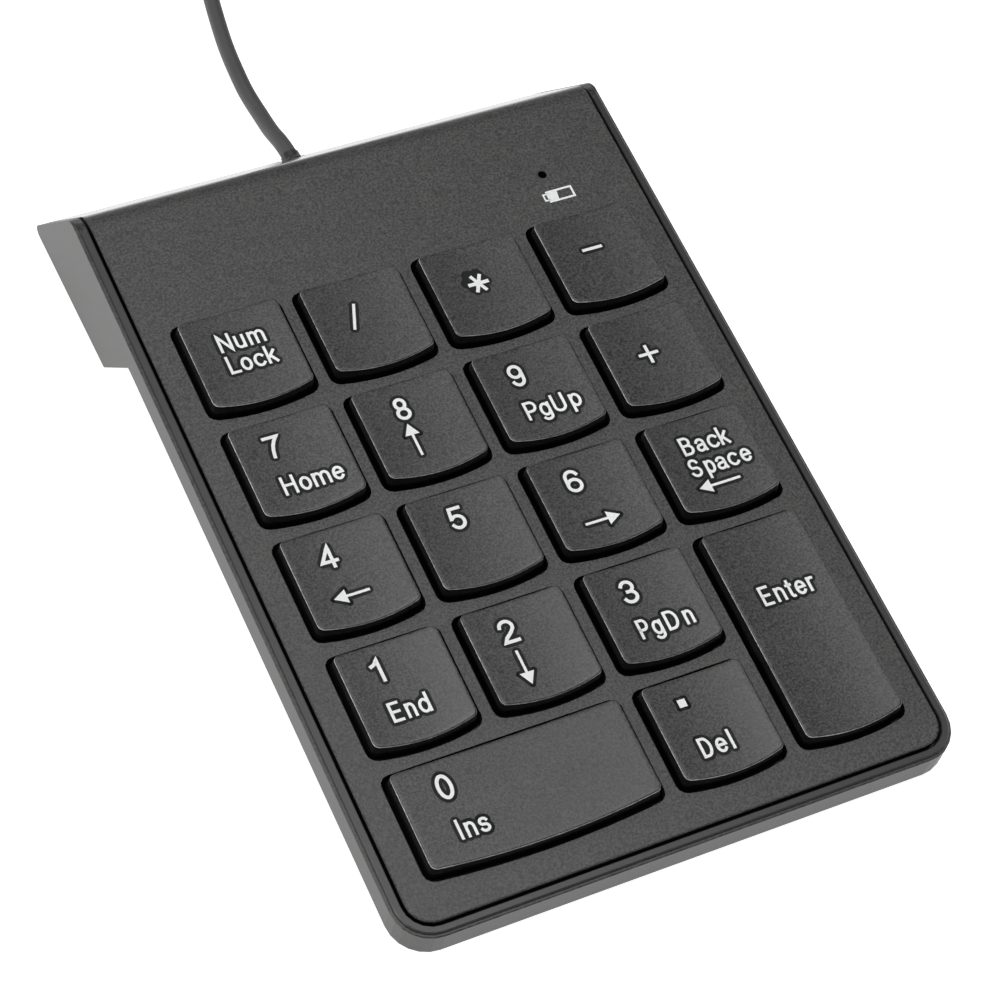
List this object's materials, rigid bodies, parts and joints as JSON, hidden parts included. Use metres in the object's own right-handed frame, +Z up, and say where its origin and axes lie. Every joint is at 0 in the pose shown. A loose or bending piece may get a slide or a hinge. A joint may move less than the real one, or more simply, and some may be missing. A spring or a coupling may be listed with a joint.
{
  "type": "numeric keypad",
  "caption": "Slim wired numeric keypad with a wedge-shaped case, bowed low-profile keys, a rear status light hole and a thin USB lead.",
  "frame": {"origin": "centre of the keypad's footprint box on the table, measured without the free lead", "axes": "+Z up, +Y towards the rear edge where the lead leaves, +X towards the column with the Enter key"},
  "size_m": [0.0983, 0.2334, 0.019],
  "materials": {
    "plate_paint": "fine matt texture",
    "case_plastic": "satin",
    "key_paint": "satin tops on glossy black sides",
    "frame_plastic": "semi-gloss black",
    "dome_silicone": "matt translucent white",
    "membrane_film": "clear film",
    "backing_steel": "plain sheet",
    "board_green": "solder mask",
    "led_resin": "tinted clear",
    "wire_steel": "drawn wire",
    "screw_steel": "blackened",
    "foot_rubber": "matt",
    "cord_jacket": "matt jacket",
    "plug_plastic": "matt",
    "shell_nickel": "nickel plate",
    "tongue_plastic": "plain"
  },
  "bodies": {
    "case": {"backing_plate": "backing_steel", "bottom_case": "case_plastic", "case_screw_front_left": "screw_steel", "case_screw_front_right": "screw_steel", "case_screw_rear_left": "screw_steel", "case_screw_rear_right": "screw_steel", "coil_tie": "plug_plastic", "controller_board": "board_green", "cord": "cord_jacket", "cord_coil": "cord_jacket", "cord_end": "cord_jacket", "cord_grommet": "plug_plastic", "dome_sheet": "dome_silicone", "front_foot_left": "foot_rubber", "front_foot_right": "foot_rubber", "inner_lead": "cord_jacket", "key_frame": "frame_plastic", "membrane_lower": "membrane_film", "membrane_spacer": "membrane_film", "membrane_upper": "membrane_film", "plug_grip": "plug_plastic", "plug_shell": "shell_nickel", "plug_tongue": "tongue_plastic", "rear_foot_left": "foot_rubber", "rear_foot_right": "foot_rubber", "status_led": "led_resin", "top_cover": "plate_paint"},
    "key_0": {"key_0": "key_paint"},
    "key_1": {"key_1": "key_paint"},
    "key_2": {"key_2": "key_paint"},
    "key_3": {"key_3": "key_paint"},
    "key_4": {"key_4": "key_paint"},
    "key_5": {"key_5": "key_paint"},
    "key_6": {"key_6": "key_paint"},
    "key_7": {"key_7": "key_paint"},
    "key_8": {"key_8": "key_paint"},
    "key_9": {"key_9": "key_paint"},
    "key_add": {"key_add": "key_paint"},
    "key_backspace": {"key_backspace": "key_paint"},
    "key_divide": {"key_divide": "key_paint"},
    "key_enter": {"key_enter": "key_paint"},
    "key_multiply": {"key_multiply": "key_paint"},
    "key_num_lock": {"key_num_lock": "key_paint"},
    "key_point": {"key_point": "key_paint"},
    "key_subtract": {"key_subtract": "key_paint"},
    "stabiliser_wire_0": {"stabiliser_wire_0": "wire_steel"},
    "stabiliser_wire_enter": {"stabiliser_wire_enter": "wire_steel"}
  },
  "joints": [
    {"name": "key_0_press", "type": "slide", "parent": "case", "child": "key_0", "axis": [0, 0.0872, -0.9962], "range_m": [0, 0.0022], "stiffness_N_per_m": 250, "springref_m": -0.0004, "deforming": ["dome_sheet"]},
    {"name": "key_1_press", "type": "slide", "parent": "case", "child": "key_1", "axis": [0, 0.0872, -0.9962], "range_m": [0, 0.0022], "stiffness_N_per_m": 250, "springref_m": -0.0004},
    {"name": "key_2_press", "type": "slide", "parent": "case", "child": "key_2", "axis": [0, 0.0872, -0.9962], "range_m": [0, 0.0022], "stiffness_N_per_m": 250, "springref_m": -0.0004},
    {"name": "key_3_press", "type": "slide", "parent": "case", "child": "key_3", "axis": [0, 0.0872, -0.9962], "range_m": [0, 0.0022], "stiffness_N_per_m": 250, "springref_m": -0.0004},
    {"name": "key_4_press", "type": "slide", "parent": "case", "child": "key_4", "axis": [0, 0.0872, -0.9962], "range_m": [0, 0.0022], "stiffness_N_per_m": 250, "springref_m": -0.0004},
    {"name": "key_5_press", "type": "slide", "parent": "case", "child": "key_5", "axis": [0, 0.0872, -0.9962], "range_m": [0, 0.0022], "stiffness_N_per_m": 250, "springref_m": -0.0004},
    {"name": "key_6_press", "type": "slide", "parent": "case", "child": "key_6", "axis": [0, 0.0872, -0.9962], "range_m": [0, 0.0022], "stiffness_N_per_m": 250, "springref_m": -0.0004},
    {"name": "key_7_press", "type": "slide", "parent": "case", "child": "key_7", "axis": [0, 0.0872, -0.9962], "range_m": [0, 0.0022], "stiffness_N_per_m": 250, "springref_m": -0.0004},
    {"name": "key_8_press", "type": "slide", "parent": "case", "child": "key_8", "axis": [0, 0.0872, -0.9962], "range_m": [0, 0.0022], "stiffness_N_per_m": 250, "springref_m": -0.0004},
    {"name": "key_9_press", "type": "slide", "parent": "case", "child": "key_9", "axis": [0, 0.0872, -0.9962], "range_m": [0, 0.0022], "stiffness_N_per_m": 250, "springref_m": -0.0004},
    {"name": "key_add_press", "type": "slide", "parent": "case", "child": "key_add", "axis": [0, 0.0872, -0.9962], "range_m": [0, 0.0022], "stiffness_N_per_m": 250, "springref_m": -0.0004},
    {"name": "key_backspace_press", "type": "slide", "parent": "case", "child": "key_backspace", "axis": [0, 0.0872, -0.9962], "range_m": [0, 0.0022], "stiffness_N_per_m": 250, "springref_m": -0.0004},
    {"name": "key_divide_press", "type": "slide", "parent": "case", "child": "key_divide", "axis": [0, 0.0872, -0.9962], "range_m": [0, 0.0022], "stiffness_N_per_m": 250, "springref_m": -0.0004},
    {"name": "key_enter_press", "type": "slide", "parent": "case", "child": "key_enter", "axis": [0, 0.0872, -0.9962], "range_m": [0, 0.0022], "stiffness_N_per_m": 250, "springref_m": -0.0004},
    {"name": "key_multiply_press", "type": "slide", "parent": "case", "child": "key_multiply", "axis": [0, 0.0872, -0.9962], "range_m": [0, 0.0022], "stiffness_N_per_m": 250, "springref_m": -0.0004},
    {"name": "key_num_lock_press", "type": "slide", "parent": "case", "child": "key_num_lock", "axis": [0, 0.0872, -0.9962], "range_m": [0, 0.0022], "stiffness_N_per_m": 250, "springref_m": -0.0004},
    {"name": "key_point_press", "type": "slide", "parent": "case", "child": "key_point", "axis": [0, 0.0872, -0.9962], "range_m": [0, 0.0022], "stiffness_N_per_m": 250, "springref_m": -0.0004},
    {"name": "key_subtract_press", "type": "slide", "parent": "case", "child": "key_subtract", "axis": [0, 0.0872, -0.9962], "range_m": [0, 0.0022], "stiffness_N_per_m": 250, "springref_m": -0.0004},
    {"name": "stabiliser_0_turn", "type": "hinge", "parent": "case", "child": "stabiliser_wire_0", "pos_m": [-0.01885, -0.05068, 0.00692], "axis": [1, 0, 0], "range_deg": [0, 18.2]},
    {"name": "stabiliser_enter_turn", "type": "hinge", "parent": "case", "child": "stabiliser_wire_enter", "pos_m": [0.02714, -0.04272, 0.00762], "axis": [0, 0.9962, 0.0872], "range_deg": [0, 18.2]}
  ],
  "couplings": [
    {"joint": "stabiliser_0_turn", "follows": "key_0_press", "rad_per_m": 143.45},
    {"joint": "stabiliser_enter_turn", "follows": "key_enter_press", "rad_per_m": 143.45}
  ]
}
